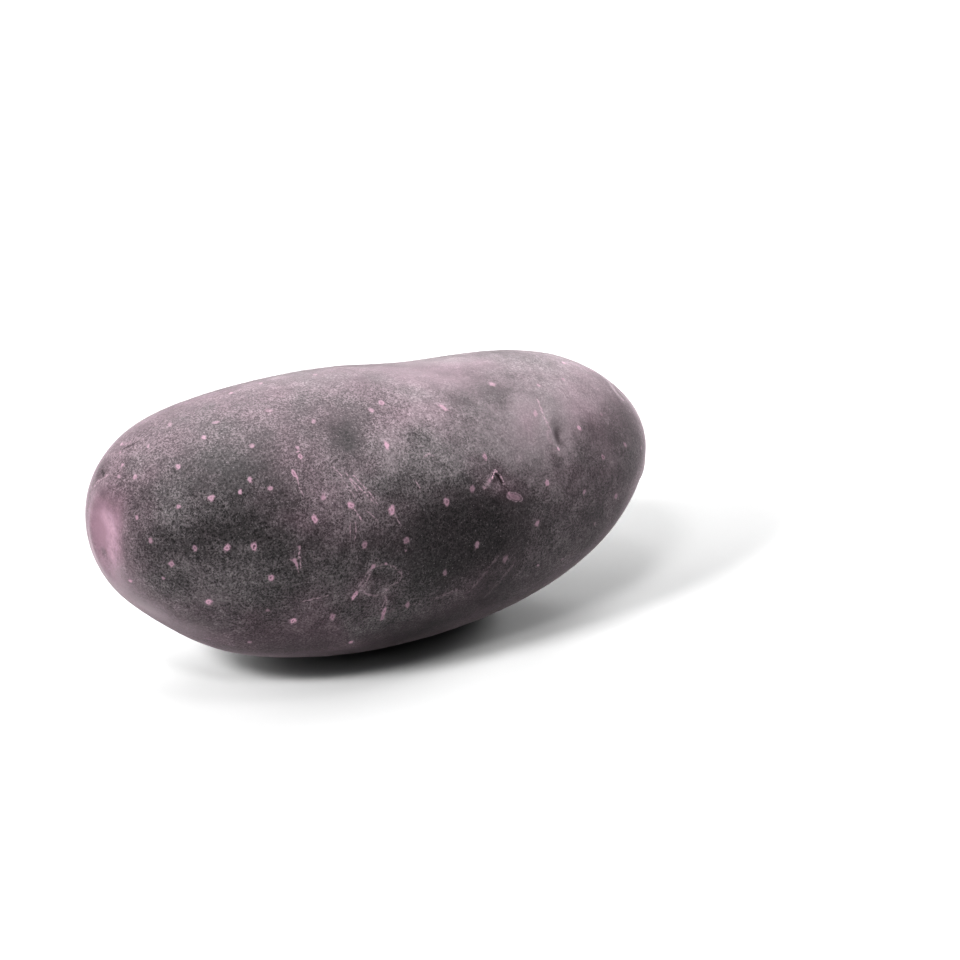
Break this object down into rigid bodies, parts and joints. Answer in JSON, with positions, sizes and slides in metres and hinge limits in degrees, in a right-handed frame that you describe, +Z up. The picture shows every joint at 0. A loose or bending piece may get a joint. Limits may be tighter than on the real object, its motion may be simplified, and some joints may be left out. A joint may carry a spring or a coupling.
{
  "type": "purple potato",
  "caption": "Whole raw purple potato, a blunt oval tuber with shallow eyes and a stem scar, lying on its side on a small flat spot.",
  "frame": {"origin": "middle of the footprint's bounding box, on the surface that the potato lies on", "axes": "+X from the stem end to the rose end along the length, +Z up"},
  "size_m": [0.0998, 0.0456, 0.0456],
  "materials": {
    "potato_skin": "dry matt skin with a faint dusty bloom"
  },
  "bodies": {
    "root": {"potato": "potato_skin"}
  },
  "joints": []
}
